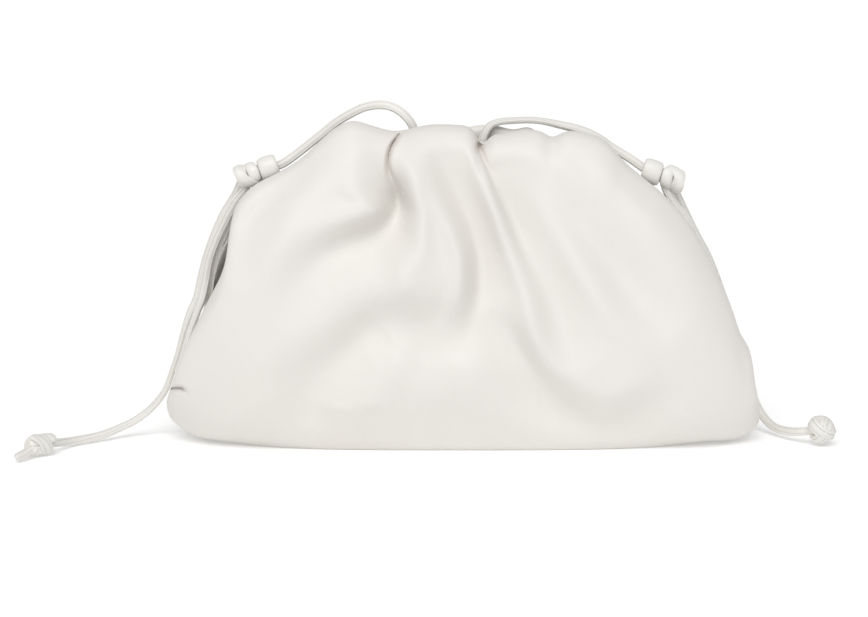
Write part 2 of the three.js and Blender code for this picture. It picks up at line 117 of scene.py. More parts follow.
# Which way each strip's flat face looks: the share of its length, and x, y and z of the look
strip_faces = {
    "strap": [
        (0.0, 0.1, -1.0, 0.3), (0.1, 0.0, -1.0, 0.5), (0.2, 0.0, -1.0, 0.3), (0.29, 0.1, -0.8, 0.7),
        (0.34, 0.0, -1.0, 0.0), (0.64, 0.0, -1.0, 0.0), (0.68, 0.0, -0.3, 1.0), (0.8, 0.0, -0.3, 1.0),
        (0.86, 0.1, -0.9, 0.6), (0.9, 0.2, -0.5, 1.0), (0.95, 0.1, -1.0, 0.4), (1.0, 0.1, -1.0, 0.3)],
    "left_anchor_strand": [
        (0.0, 0.2, -1.0, 0.1), (0.5, 0.2, -1.0, 0.0), (0.68, -0.9, -0.6, 0.0), (1.0, -1.0, -0.4, 0.0)],
    "right_anchor_strand": [(0.0, 0.3, -1.0, 0.2), (0.4, 0.0, -1.0, 0.0), (1.0, 0.0, -1.0, 0.0)],
    "left_tail": [
        (0.0, -0.3, -1.0, 0.2), (0.33, -0.5, -1.0, 0.1), (0.43, -1.0, -0.3, 0.0), (0.6, -1.0, -0.3, 0.2),
        (0.72, -0.5, -0.6, 0.7), (0.84, 0.0, -0.8, 0.7), (0.93, 0.0, -1.0, 0.3), (1.0, 0.0, -1.0, 0.1)],
    "right_tail": [
        (0.0, 0.5, -1.0, 0.0), (0.2, 0.8, -0.7, 0.0), (0.6, 0.6, -0.8, 0.0), (0.74, 0.3, -0.9, 0.4),
        (0.86, 0.0, -1.0, 0.5), (1.0, 0.2, -1.0, 0.3)],
}


def smooth_route(stations, step):
    """The curve through the stations, with points about a step apart."""
    given = np.array(stations, float)
    ends = np.vstack([2 * given[0] - given[1], given, 2 * given[-1] - given[-2]])
    fine = []
    for a, b, c, d in zip(ends, ends[1:], ends[2:], ends[3:]):
        before, here, after = (np.linalg.norm(q - p) ** 0.5 for p, q in ((a, b), (b, c), (c, d)))
        leave = (b - a) / before - (c - a) / (before + here) + (c - b) / here
        reach = (c - b) / here - (d - b) / (here + after) + (d - c) / after
        leave, reach = leave * here, reach * here
        for t in np.linspace(0, 1, route_curve_steps, endpoint=False):
            fine.append(b + leave * t + (3 * (c - b) - 2 * leave - reach) * t**2
                        + (2 * (b - c) + leave + reach) * t**3)
    fine = np.vstack([fine, given[-1]])
    along = np.concatenate([[0], np.cumsum(np.linalg.norm(np.diff(fine, axis=0), axis=1))])
    even = np.linspace(0, along[-1], max(2, math.ceil(along[-1] / step) + 1))
    return np.stack([np.interp(even, along, fine[:, axis]) for axis in range(3)], axis=1)


def spread_faces(route, faces):
    """The way that a strip's flat face looks at each point of its route, square to the route."""
    shares = np.linspace(0, 1, len(route))
    given = np.array(faces, float)
    looks = np.stack([np.interp(shares, given[:, 0], given[:, axis]) for axis in (1, 2, 3)], axis=1)
    tangent = np.gradient(route, axis=0)
    tangent /= np.linalg.norm(tangent, axis=1)[:, None]
    looks -= (looks * tangent).sum(1)[:, None] * tangent
    return looks / np.linalg.norm(looks, axis=1)[:, None]


def put(tree, kind, inputs=None, **settings):
    """Adds a node to a tree. Each input is a number or another node's socket."""
    made = tree.nodes.new(kind)
    for name, value in settings.items():
        setattr(made, name, value)
    for name, value in (inputs or {}).items():
        if isinstance(value, bpy.types.NodeSocket):
            tree.links.new(value, made.inputs[name])
        else:
            made.inputs[name].default_value = value
    return made


def strip_tree():
    """A tree that sweeps the folded strip's flat profile along each line of a route mesh."""
    tree = bpy.data.node_groups.new("folded_strip", "GeometryNodeTree")
    named = [("Strip width", strip_width), ("Strip thickness", strip_thickness),
             ("Press line depth", press_line_depth), ("Press line place", press_line_place),
             ("Press line width", press_line_width), ("Corner power", strip_corner_power)]
    tree.interface.new_socket("Route", in_out="INPUT", socket_type="NodeSocketGeometry")
    for name, value in named:
        made = tree.interface.new_socket(name, in_out="INPUT", socket_type="NodeSocketFloat")
        made.default_value = value
    tree.interface.new_socket("Leather", in_out="INPUT", socket_type="NodeSocketMaterial")
    tree.interface.new_socket("Strip", in_out="OUTPUT", socket_type="NodeSocketGeometry")
    given = tree.nodes.new("NodeGroupInput").outputs

    def math_node(operation, a, b=0.0):
        return put(tree, "ShaderNodeMath", {0: a, 1: b}, operation=operation).outputs[0]

    def rounded(value, power, size):
        curve = math_node("POWER", math_node("ABSOLUTE", value), power)
        return math_node("MULTIPLY", math_node("MULTIPLY", curve, math_node("SIGN", value)), size)

    ring = put(tree, "GeometryNodeCurvePrimitiveCircle", {"Resolution": strip_profile_points,
                                                          "Radius": 1.0})
    place = put(tree, "ShaderNodeSeparateXYZ", {0: tree.nodes.new("GeometryNodeInputPosition").outputs[0]})
    across = rounded(place.outputs["X"], given["Corner power"], 1.0)
    from_line = math_node("SUBTRACT", math_node("ABSOLUTE", across), given["Press line place"])
    narrow = math_node("DIVIDE", from_line, given["Press line width"])
    bell = math_node("EXPONENT", math_node("MULTIPLY", math_node("MULTIPLY", narrow, narrow), -1.0))
    thin = math_node("SUBTRACT", 1.0, math_node("MULTIPLY", bell, given["Press line depth"]))
    half_width = math_node("MULTIPLY", given["Strip width"], 0.5)
    half_thickness = math_node("MULTIPLY", given["Strip thickness"], 0.5)
    flat = math_node("MULTIPLY", across, half_width)
    proud = math_node("MULTIPLY", rounded(place.outputs["Y"], given["Corner power"], thin), half_thickness)
    marked = put(tree, "GeometryNodeStoreNamedAttribute", {"Geometry": ring.outputs["Curve"],
                                                           "Name": "across", "Value": across})
    shaped = put(tree, "GeometryNodeSetPosition", {
        "Geometry": marked.outputs[0],
        "Position": put(tree, "ShaderNodeCombineXYZ", {"X": proud, "Y": flat}).outputs[0]})
    line = put(tree, "GeometryNodeMeshToCurve", {"Mesh": given["Route"]})
    look = put(tree, "GeometryNodeInputNamedAttribute", {"Name": "face"}, data_type="FLOAT_VECTOR")
    turned = put(tree, "GeometryNodeSetCurveNormal", {"Curve": line.outputs[0],
                                                      "Normal": look.outputs[0]}, mode="FREE")
    fullness = put(tree, "GeometryNodeInputNamedAttribute", {"Name": "fullness"}, data_type="FLOAT")
    swept = put(tree, "GeometryNodeCurveToMesh", {
        "Curve": turned.outputs[0], "Profile Curve": shaped.outputs[0],
        "Scale": fullness.outputs[0], "Fill Caps": True})
    pressed = put(tree, "GeometryNodeStoreNamedAttribute", {
        "Geometry": swept.outputs[0], "Name": "pressed", "Value": given["Press line depth"]})
    soft = put(tree, "GeometryNodeSetShadeSmooth", {"Geometry": pressed.outputs[0]})
    whole = put(tree, "GeometryNodeRealizeInstances", {"Geometry": soft.outputs[0]})
    dressed = put(tree, "GeometryNodeSetMaterial", {"Geometry": whole.outputs[0],
                                                    "Material": given["Leather"]})
    tree.links.new(dressed.outputs[0], tree.nodes.new("NodeGroupOutput").inputs[0])
    return tree


def plain_mesh(carrier, name):
    """What a carrier's modifier makes, as a plain mesh object in its place."""
    shown = carrier.evaluated_get(bpy.context.evaluated_depsgraph_get())
    made = bpy.data.objects.new(name, bpy.data.meshes.new_from_object(shown))
    made.data.name = name
    bpy.data.objects.remove(carrier)
    bpy.context.scene.collection.objects.link(made)
    return made


def sweep(name, lines, material, **sizes):
    """A strip along each line; a line is its points and their faces in metres, and its fullness."""
    mesh = bpy.data.meshes.new(name + "_route")
    points = np.vstack([line for line, _, _ in lines])
    starts = np.cumsum([0] + [len(line) for line, _, _ in lines])
    edges = [(i, i + 1) for a, b in zip(starts, starts[1:]) for i in range(a, b - 1)]
    mesh.from_pydata(points.tolist(), edges, [])
    faces = mesh.attributes.new("face", "FLOAT_VECTOR", "POINT")
    faces.data.foreach_set("vector", np.vstack([f for _, f, _ in lines]).astype(np.float32).ravel())
    full = mesh.attributes.new("fullness", "FLOAT", "POINT")
    full.data.foreach_set("value", np.concatenate([w for _, _, w in lines]).astype(np.float32))
    carrier = bpy.data.objects.new(name + "_carrier", mesh)
    bpy.context.scene.collection.objects.link(carrier)
    modifier = carrier.modifiers.new("folded_strip", "NODES")
    modifier.node_group = folded_strip
    sockets = {item.name: item.identifier for item in folded_strip.interface.items_tree
               if item.in_out == "INPUT"}
    for title, value in {"Leather": material, **sizes}.items():
        modifier[sockets[title]] = value
    return plain_mesh(carrier, name)


def place_piece(piece, node):
    """Lets a finished piece stand on the bag, in place of the node's solid."""
    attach(piece, "root")
    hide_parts(node)


def shader(name):
    """A new material with its main shader and its tree."""
    material = bpy.data.materials.new(name)
    material.use_nodes = True
    return material, material.node_tree, material.node_tree.nodes["Principled BSDF"]


# The strip's leather is the bag's own, but pressed smooth, so it is a little glossier, with finer
# grain; near its folded edges the grooves of the pressed lines carry a trace of painted grey shade.
strap_leather, tree, bsdf = shader("strap_leather")
bsdf.inputs["Roughness"].default_value = 0.42
bsdf.inputs["Sheen Weight"].default_value = 0.05
place = put(tree, "ShaderNodeTexCoord").outputs["Object"]
across = put(tree, "ShaderNodeAttribute", attribute_name="across").outputs["Fac"]
from_middle = put(tree, "ShaderNodeMath", {0: across}, operation="ABSOLUTE").outputs[0]
from_line = put(tree, "ShaderNodeMath", {0: from_middle, 1: press_line_place}, operation="SUBTRACT")
# Painted shade: the grooves of the pressed lines are darkened grey, the more where a line is pressed
# deeper.
press_line_shade_mask = put(tree, "ShaderNodeMapRange", {
    "Value": put(tree, "ShaderNodeMath", {0: from_line.outputs[0]}, operation="ABSOLUTE").outputs[0],
    "From Min": 0.02, "From Max": 0.13, "To Min": 1.0, "To Max": 0.0}, interpolation_type="SMOOTHSTEP")
pressed = put(tree, "ShaderNodeAttribute", attribute_name="pressed").outputs["Fac"]
strength = put(tree, "ShaderNodeMapRange", {"Value": pressed, "From Max": press_line_depth})
press_line_shade = put(tree, "ShaderNodeMath", {0: press_line_shade_mask.outputs[0], 1: strength.outputs[0]},
                operation="MULTIPLY")
cloudy = put(tree, "ShaderNodeTexNoise", {"Vector": place, "Scale": 90.0, "Detail": 3.0})
tone = put(tree, "ShaderNodeMix", {"Factor": cloudy.outputs["Fac"]}, data_type="RGBA")
tone.inputs[6].default_value = (0.71, 0.69, 0.65, 1)
tone.inputs[7].default_value = (0.78, 0.765, 0.73, 1)
press_line_shaded = put(tree, "ShaderNodeMix", {"Factor": press_line_shade.outputs[0], 6: tone.outputs[2]}, data_type="RGBA")
press_line_shaded.inputs[7].default_value = (0.58, 0.565, 0.53, 1)
tree.links.new(press_line_shaded.outputs[2], bsdf.inputs["Base Color"])
grain = put(tree, "ShaderNodeTexNoise", {"Vector": place, "Scale": 2600.0, "Detail": 4.0})
relief = put(tree, "ShaderNodeBump", {"Strength": 0.12, "Distance": 0.0001, "Height": grain.outputs["Fac"]})
tree.links.new(relief.outputs[0], bsdf.inputs["Normal"])

folded_strip = strip_tree()
strips = {}
for name, stations in strip_routes.items():
    route = smooth_route(np.array(stations) * millimetre, strip_ring_step)
    faces = spread_faces(route, strip_faces[name])
    strips[name] = sweep(name + "_strip", [(route, faces, np.ones(len(route)))], strap_leather)
    place_piece(strips[name], name)


# The two slider knots hold the strap's halves at the shoulders. In each, the strip is wound round
# the strands: one smooth broad turn where the strap comes in, and beside it two narrow turns that
# lean against each other and are crossed by a third, all pulled tight.
def knot_frame(middle, along, towards):
    """A knot's middle and its own three directions: along it, towards the viewer, and across."""
    forth = Vector(along).normalized()
    across_it = forth.cross(Vector(towards)).normalized()
    front = across_it.cross(forth)
    return np.array(middle) * millimetre, np.array(forth), np.array(front), np.array(across_it)


def wound(knot, start, end, radius, turns, phase, tilt=0.0, squeeze=1.0, points=90):
    """A line wound round a knot: from start to end along it, in millimetres, with its faces out."""
    middle, forth, front, across_it = knot
    share = np.linspace(0, 1, points)[:, None]
    angle = phase + 2 * math.pi * turns * share
    outward = np.cos(angle) * front + np.sin(angle) * across_it * squeeze
    lean = tilt * np.cos(angle) * radius
    line = middle + ((start + (end - start) * share + lean) * forth + radius * outward) * millimetre
    tangent = np.gradient(line, axis=0)
    tangent /= np.linalg.norm(tangent, axis=1)[:, None]
    face = outward - (outward * tangent).sum(1)[:, None] * tangent
    return line, face / np.linalg.norm(face, axis=1)[:, None]


def core_line(knot, start, end, points=24):
    """A straight line through the middle of a knot, and its faces."""
    middle, forth, front, _ = knot
    line = middle + np.linspace(start, end, points)[:, None] * forth * millimetre
    return line, np.repeat(front[None], points, axis=0)


def rounded_ends(count, ends=6, least=0.55):
    """The fullness of a line whose two ends are rounded off."""
    place = np.minimum(np.arange(count), np.arange(count)[::-1]) / ends
    return least + (1 - least) * np.sqrt(1 - (1 - np.clip(place, 0, 1)) ** 2)


def knot_part(name, line, faces, fullness, wide, thick, corners=strip_corner_power,
              press=press_line_depth):
    """One part of a knot: the strip along a line, with its width and thickness in millimetres."""
    return sweep(name, [(line, faces, fullness)], strap_leather, **{
        "Strip width": wide * millimetre, "Strip thickness": thick * millimetre,
        "Corner power": corners, "Press line depth": press})


def joined(name, parts):
    """Several meshes as one object."""
    bpy.ops.object.select_all(action="DESELECT")
    for part in parts:
        part.select_set(True)
    bpy.context.view_layer.objects.active = parts[0]
    bpy.ops.object.join()
    parts[0].select_set(False)
    parts[0].name = name
    parts[0].data.name = name
    return parts[0]


slider_knots = {
    "left_slider_knot": knot_frame((-75.4, 0.5, 99.6), (0.94, 0.02, 0.33), (0, -1, 0.2)),
    "right_slider_knot": knot_frame((72.8, 0.5, 98.3), (-0.94, 0.02, 0.31), (0, -1, 0.2)),
}
# The turns of a slider knot: where each starts and ends along it, its radius, how often it goes
# round, where it begins, how far it leans, and its strip's width, thickness and press line
slider_wraps = [
    (4.2, 4.4, 3.25, 1.08, 2.2, 0.1, 6.9, 2.5, 0.0),
    (-2.75, -1.95, 3.1, 1.08, 0.6, 0.3, 4.2, 2.5, 0.03),
    (-5.6, -4.4, 3.0, 1.06, 3.0, -0.22, 4.4, 2.4, 0.03),
    (-6.2, -1.2, 3.9, 0.5, 4.6, -0.55, 3.8, 1.6, 0.08),
]
slider_squeeze = 1.03
slider_corners = 0.8
# The strands inside a slider knot, as one core: where it starts and ends, its width and thickness
slider_core = (-5.6, 6.8, 5.4, 5.2)
core_corners = 0.9
slider_pieces = {}
for name, knot in slider_knots.items():
    parts = []
    for start, end, radius, turns, phase, tilt, wide, thick, press in slider_wraps:
        line, faces = wound(knot, start, end, radius, turns, phase, tilt, slider_squeeze)
        parts.append(knot_part(name + "_wrap", line, faces, rounded_ends(len(line)), wide, thick,
                               slider_corners, press))
    start, end, wide, thick = slider_core
    line, faces = core_line(knot, start, end)
    fullness = rounded_ends(len(line), ends=5, least=0.6)
    parts.append(knot_part(name + "_core", line, faces, fullness, wide, thick, core_corners))
    slider_pieces[name] = joined(name + "_wraps", parts)
    place_piece(slider_pieces[name], name)


# Each end of the strip is tied in one overhand knot, pulled tight. The left one is a short barrel
# with its tip sticking out in front, and the right one is a ball with its eye towards the viewer.
left_end = knot_frame((-153.0, -28.2, 4.3), (0.7, 0.71, -0.06), (0.5, -0.6, 0.7))
# The barrel's turns: start, end, radius, how often round, where it begins, lean and strip width
left_end_wraps = [
    (-2.7, 2.9, 2.9, 1.9, 1.0, 0.3, 4.8),
    (-3.6, 3.4, 3.1, 0.45, 5.4, 0.0, 4.0),
]
left_end_thickness = 1.8
left_end_core = (-5.0, 5.0, 5.8, 5.2)
left_tip_stations = [(-154.4, -30.0, 3.7), (-156.3, -33.5, 3.1), (-158.0, -36.5, 2.4), (-159.8, -39.0, 2.0)]
left_tip_faces = [(0, 0.2, -0.8, 0.6), (1, 0.2, -0.8, 0.6)]
parts = []
for start, end, radius, turns, phase, tilt, wide in left_end_wraps:
    line, faces = wound(left_end, start, end, radius, turns, phase, tilt)
    parts.append(knot_part("left_end_wrap", line, faces, rounded_ends(len(line)), wide,
                           left_end_thickness))
start, end, wide, thick = left_end_core
line, faces = core_line(left_end, start, end)
fullness = rounded_ends(len(line), ends=5, least=0.6)
parts.append(knot_part("left_end_core", line, faces, fullness, wide, thick))
line = smooth_route(np.array(left_tip_stations) * millimetre, strip_ring_step)
faces = spread_faces(line, left_tip_faces)
fullness = rounded_ends(len(line), ends=2, least=0.7)
parts.append(sweep("left_end_tip", [(line, faces, fullness)], strap_leather))
left_end_piece = joined("left_end_knot_wraps", parts)
place_piece(left_end_piece, "left_end_knot")

# The ball's bands: the way each band's own axis points, how far it is shifted along that axis, its
# radius, and its strip's width
right_end_bands = [
    ((0.55, -0.25, 0.8), 0.9, 4.1, 4.4),
    ((-0.75, -0.1, 0.65), -0.6, 3.9, 4.2),
    ((0.86, -0.46, 0.2), 2.0, 3.3, 3.6),
    ((0.2, 0.9, 0.3), 1.6, 3.5, 4.0),
]
right_end_middle = (131.0, -11.5, 5.9)
right_end_towards = (0.1, -1, 0.35)
right_end_thickness = 2.2
band_run = 0.5
band_turns = 1.02
band_begin = 3.3
right_core_along = (0.86, -0.46, 0.2)
right_end_core = (-4.2, 4.2, 6.6, 6.4)
parts = []
for axis, shift, radius, wide in right_end_bands:
    band = knot_frame(right_end_middle, axis, right_end_towards)
    line, faces = wound(band, shift - band_run, shift + band_run, radius, band_turns, band_begin)
    fullness = rounded_ends(len(line), ends=3, least=0.8)
    parts.append(knot_part("right_end_band", line, faces, fullness, wide, right_end_thickness))
start, end, wide, thick = right_end_core
line, faces = core_line(knot_frame(right_end_middle, right_core_along, right_end_towards), start, end)
fullness = rounded_ends(len(line), ends=8, least=0.4)
parts.append(knot_part("right_end_core", line, faces, fullness, wide, thick, core_corners))
right_end_piece = joined("right_end_knot_wraps", parts)
place_piece(right_end_piece, "right_end_knot")


# The pouch is one soft shell of smooth leather in two panels. Each panel's top edge is gathered and
# rolled over the mouth's hidden hinged frame, so it makes two puffed lips that meet, and the pleats
# of the gathers run down into the full belly. The sizes are the solid's own, in millimetres.
pouch_width = 220
pouch_height = 119
belly_depth = 62
base_depth = 38
base_width = 176
leather_wall = 2
lip_thickness = 5
lip_reach = 6
mouth_gap = 5
mouth_end_margin = 3
back_lip_drop = 3.8

# How square the bag is seen from above, at the lip and at the belly, and how soon one becomes the
# other; where the belly is deepest; and how the depth swells above it and falls below it
lip_bluntness = 14
belly_bluntness = 3.2
blunt_reach = 0.13
belly_at = 0.66
shoulder_power = 0.62
fall_roundness = 0.3
fall_power = 1.35
hinge_reach = 12

# The mesh: its columns and rows, and where they crowd together, as place, width and strength
panel_columns = 360
front_rows = 124
back_rows = 84
base_rows = 5
roll_rows = 7
lining_rows = 12
column_crowds = [(0.49, 0.1, 1.4)]
row_crowds = [(0, 0.03, 4.0), (1, 0.05, 1.0), (0.2, 0.2, 0.4)]
first_lining_share = 0.02
lining_crowding = 1.3
lining_clearance_steps = 8

mouth_stations = [
    (-0.95, 0.179), (-0.912, 0.323), (-0.87, 0.436), (-0.81, 0.615), (-0.755, 0.746), (-0.69, 0.804),
    (-0.61, 0.843), (-0.535, 0.887), (-0.475, 0.938), (-0.42, 0.98), (-0.37, 1.0), (-0.3, 0.995),
    (-0.2, 0.989), (-0.1, 0.99), (0.0, 0.986), (0.1, 0.98), (0.2, 0.973), (0.3, 0.971), (0.38, 0.966),
    (0.44, 0.95), (0.48, 0.926), (0.525, 0.879), (0.6, 0.819), (0.65, 0.782), (0.755, 0.671),
    (0.86, 0.464), (0.915, 0.353), (0.955, 0.29), (0.967, 0.2),
]
left_end_stations = [(-0.95, 0.179), (-0.982, 0.16), (-1.0, 0.12), (-0.992, 0.075), (-0.96, 0.042),
                     (-0.895, 0.01), (-base_width / pouch_width, 0)]
right_end_stations = [(0.967, 0.2), (0.981, 0.15), (1.0, 0.09), (0.99, 0.045), (0.94, 0.008),
                      (base_width / pouch_width, 0)]

# Waves in each lip, in shares: where along the mouth, how wide, and how far the lip is drawn in
lip_waves = {
    "front": [(0.15, 0.05, 0.032), (0.43, 0.028, 0.021), (0.53, 0.01, 0.04), (0.547, 0.02, 0.018),
              (0.6085, 0.011, 0.02), (0.885, 0.05, -0.013)],
    "back": [(0.15, 0.08, -0.047), (0.262, 0.018, -0.03), (0.33, 0.02, 0.012), (0.45, 0.018, 0.012),
             (0.539, 0.035, -0.03), (0.583, 0.014, -0.024), (0.66, 0.02, 0.014), (0.74, 0.02, 0.01),
             (0.78, 0.025, -0.045)],
}

# The soft pleats and dents of each panel, in millimetres seen from the front. Each station is x, z,
# the depth, and how wide the left and the right side are.
pleats = {
    "front": [
        [(-22.4, 116.0, 0.6, 5.0, 3.0), (-25.9, 111.2, 1.2, 6.0, 3.0), (-27.3, 104.4, 3.0, 7.0, 3.6),
         (-26.1, 98.5, 6.0, 7.5, 4.0), (-24.5, 92.5, 9.4, 6.0, 4.0), (-24.0, 87.5, 10.0, 5.0, 5.0),
         (-27.2, 82.8, 9.6, 4.8, 8.0), (-34.0, 79.6, 8.6, 4.8, 12.0), (-42.2, 76.4, 7.0, 5.4, 14.0),
         (-50.5, 71.0, 5.2, 7.0, 15.0), (-57.4, 63.5, 3.2, 8.0, 15.0), (-62.0, 53.0, 1.0, 9.0, 14.0),
         (-64.5, 46.0, 0.0, 9.0, 13.0)],
        [(-13.0, 114.2, 0.4, 6.0, 7.0), (-9.6, 107.4, 3.6, 5.0, 9.0), (-3.6, 96.5, 5.4, 4.4, 9.0),
         (2.2, 85.0, 6.8, 4.2, 9.5), (5.8, 73.4, 8.0, 4.0, 10.0), (6.2, 61.0, 7.2, 4.2, 10.5),
         (3.6, 48.5, 4.4, 5.0, 10.0), (-2.4, 33.8, 0.0, 7.0, 11.0)],
        [(6.2, 113.0, 1.0, 2.8, 5.0), (8.0, 107.0, 3.2, 2.8, 8.0), (10.5, 101.5, 5.6, 3.0, 10.5),
         (14.9, 92.5, 7.2, 3.2, 12.0), (19.4, 82.4, 7.6, 3.6, 12.0), (23.6, 73.3, 7.0, 4.0, 12.0),
         (28.0, 63.8, 6.0, 4.4, 11.0), (32.8, 53.1, 4.6, 5.0, 10.0), (38.0, 41.0, 2.4, 6.0, 10.0),
         (42.5, 31.9, 0.0, 7.0, 10.0)],
        [(10.0, 54.0, 0.0, 9.0, 6.0), (15.4, 46.0, 4.0, 10.0, 4.6), (19.6, 38.0, 6.0, 10.0, 4.6),
         (26.6, 26.8, 6.0, 11.0, 5.0), (35.6, 17.6, 5.6, 12.0, 5.5), (47.0, 11.0, 4.6, 12.0, 6.0),
         (57.4, 11.0, 4.4, 12.0, 6.0), (66.8, 16.0, 3.6, 11.0, 7.0), (78.7, 25.0, 0.0, 10.0, 8.0)],
        [(28.0, 108.3, 0.0, 6.0, 9.0), (33.4, 98.9, 2.2, 6.0, 10.0), (40.2, 86.4, 5.0, 5.4, 11.0),
         (47.6, 75.1, 5.8, 5.6, 11.0), (54.6, 66.0, 5.4, 6.0, 11.0), (61.6, 58.0, 4.4, 6.6, 11.0),
         (69.5, 50.6, 2.6, 7.0, 10.0), (78.0, 44.7, 0.0, 8.0, 10.0)],
        [(33.4, 111.0, 0.0, 2.0, 3.0), (37.0, 108.0, 0.7, 2.0, 4.0), (42.5, 103.5, 0.7, 2.5, 5.0),
         (49.0, 98.0, 0.0, 5.0, 5.0)],
        [(-50.2, 114.0, 0.0, 6.0, 7.0), (-57.6, 107.6, 2.2, 6.0, 6.0), (-65.4, 100.3, 3.6, 6.0, 6.0),
         (-72.4, 91.2, 4.2, 6.0, 6.0), (-78.2, 81.4, 3.8, 6.0, 7.0), (-82.4, 71.8, 2.4, 6.0, 8.0),
         (-86.0, 61.6, 0.0, 6.0, 8.0)],
        [(-20.0, 62.0, 0.0, 9.0, 7.0), (-27.5, 53.6, 4.0, 8.0, 7.0), (-33.1, 47.4, 5.4, 8.0, 8.0),
         (-39.2, 40.1, 5.4, 8.0, 9.0), (-47.5, 31.6, 4.6, 9.0, 10.0), (-57.0, 23.2, 4.2, 10.0, 10.0),
         (-56.0, 14.8, 3.4, 9.0, 8.0), (-50.0, 5.0, 0.0, 8.0, 8.0)],
        [(4.0, 52.0, 0.0, 8.0, 10.0), (-6.0, 49.0, 3.4, 8.0, 12.0), (-17.0, 46.0, 5.0, 8.0, 12.0),
         (-27.0, 43.0, 2.0, 9.0, 11.0), (-35.0, 38.0, 0.0, 9.0, 9.0)],
    ],
    "back": [
        [(-37.0, 118.0, 4.0, 4.0, 4.0), (-42.0, 104.0, 5.0, 5.0, 6.0), (-50.0, 80.0, 4.6, 7.0, 9.0),
         (-60.0, 54.0, 2.6, 9.0, 11.0), (-68.0, 34.0, 0.0, 9.0, 11.0)],
        [(-11.0, 118.0, 5.0, 4.0, 4.0), (-12.6, 102.0, 6.4, 5.0, 6.0), (-16.0, 80.0, 5.8, 7.0, 8.0),
         (-21.0, 58.0, 3.2, 9.0, 10.0), (-26.0, 36.0, 0.0, 9.0, 11.0)],
        [(17.6, 118.0, 5.0, 4.0, 4.0), (19.6, 102.0, 6.4, 6.0, 5.0), (23.5, 80.0, 5.8, 8.0, 7.0),
         (29.0, 56.0, 3.2, 10.0, 9.0), (34.0, 34.0, 0.0, 11.0, 9.0)],
        [(46.0, 114.0, 3.0, 4.0, 4.0), (52.0, 98.0, 4.4, 6.0, 5.0), (61.0, 74.0, 3.8, 9.0, 8.0),
         (72.6, 42.0, 0.0, 11.0, 9.0)],
        [(-48.0, 40.0, 0.0, 8.0, 9.0), (-30.0, 28.0, 2.0, 8.0, 9.0), (-6.0, 20.0, 2.2, 8.0, 9.0),
         (22.0, 22.0, 0.0, 8.0, 9.0)],
    ],
}

# The tight creases, where one side laps over the other. Each station is x, z, the groove's depth and
# half its width, and how far the leather stands proud on the left and on the right of it.
creases = {
    "front": [
        [(-21.6, 117.2, 2.4, 0.5, 0.0, 0.6), (-23.8, 113.8, 4.0, 0.5, 0.0, 1.4),
         (-25.9, 111.2, 4.5, 0.5, 0.0, 1.8), (-27.2, 107.8, 4.5, 0.5, 0.0, 2.0),
         (-27.5, 104.4, 3.6, 0.6, 0.0, 2.0), (-26.8, 100.6, 1.6, 1.0, 0.0, 1.8),
         (-25.0, 96.6, 0.6, 1.8, 0.0, 1.6), (-23.2, 91.5, 0.4, 2.0, 0.0, 1.4),
         (-23.2, 87.6, 0.2, 2.0, 0.0, 0.8), (-26.0, 84.6, 0.0, 2.0, 0.0, 0.0)],
        [(6.4, 112.2, 3.0, 0.8, 0.2, 0.0), (5.8, 110.9, 9.0, 1.1, 0.3, 0.0),
         (5.3, 109.7, 8.0, 1.0, 0.9, 0.0), (6.4, 107.6, 2.2, 0.7, 1.6, 0.0),
         (8.4, 102.8, 0.8, 0.8, 1.8, 0.0), (12.4, 92.7, 0.3, 1.0, 1.6, 0.0),
         (19.5, 77.1, 0.1, 1.4, 1.0, 0.0), (26.0, 62.5, 0.0, 1.6, 0.0, 0.0)],
        [(-110.0, 19.4, 1.0, 0.6, 0.0, 0.3), (-107.4, 21.0, 3.4, 0.7, 0.0, 0.8),
         (-104.6, 22.2, 3.6, 0.8, 0.0, 0.8), (-102.4, 22.2, 3.8, 0.9, 0.0, 0.8),
         (-101.2, 21.4, 1.2, 0.8, 0.0, 0.4), (-99.8, 19.6, 0.0, 0.8, 0.0, 0.0)],
    ],
    "back": [
        [(-11.0, 116.0, 2.0, 0.9, 0.0, 0.6), (-12.0, 106.0, 3.0, 1.0, 0.0, 1.4),
         (-15.0, 86.0, 1.0, 1.4, 0.0, 0.8), (-18.0, 70.0, 0.0, 1.6, 0.0, 0.0)],
        [(17.6, 115.0, 2.0, 0.9, 0.6, 0.0), (19.0, 105.0, 3.0, 1.0, 1.4, 0.0),
         (22.5, 84.0, 1.0, 1.4, 0.8, 0.0), (26.0, 68.0, 0.0, 1.6, 0.0, 0.0)],
    ],
}
lap_reach = 6.0
crease_onset = 90

# The pleats' common form: the low ridge on both sides of a pleat, how often the whole is evened
# out, and how soon below the lip it begins
ridge_height = 0.2
ridge_at = 1.9
ridge_width = 0.7
pleat_evening = 6
pleat_onset = 10
pleat_end = 5
wave_onset = 6
line_steps = 10
line_evening = 12

# How much painted shade darkens the leather beside a crease: how far, how much for its depth, and at most
crease_shade_reach = 1.3
crease_shade_for_depth = 0.08
crease_shade_most = 0.6

# Where a panel is puffed out: x, z, the two radii and the height
puffs = {
    "front": [(-24.0, 67.0, 22.0, 15.0, 2.2), (-13.0, 108.0, 9.0, 12.0, 2.0), (-23.2, 91.0, 3.4, 8.0, -3.0),
              (58.0, 38.0, 26.0, 22.0, 1.6), (-62.0, 84.0, 14.0, 30.0, 1.4), (-84.0, 38.0, 14.0, 30.0, 1.2),
              (11.0, 84.0, 5.0, 26.0, 0.8), (66.0, 84.0, 16.0, 24.0, 1.2), (-32.0, 16.0, 26.0, 12.0, 1.2)],
    "back": [(-70.0, 62.0, 18.0, 30.0, 1.8), (2.0, 84.0, 10.0, 28.0, 2.0), (-34.0, 60.0, 10.0, 28.0, 1.4),
             (46.0, 56.0, 12.0, 26.0, 1.6), (84.0, 50.0, 14.0, 26.0, 1.4), (0.0, 40.0, 40.0, 16.0, 1.4)],
}


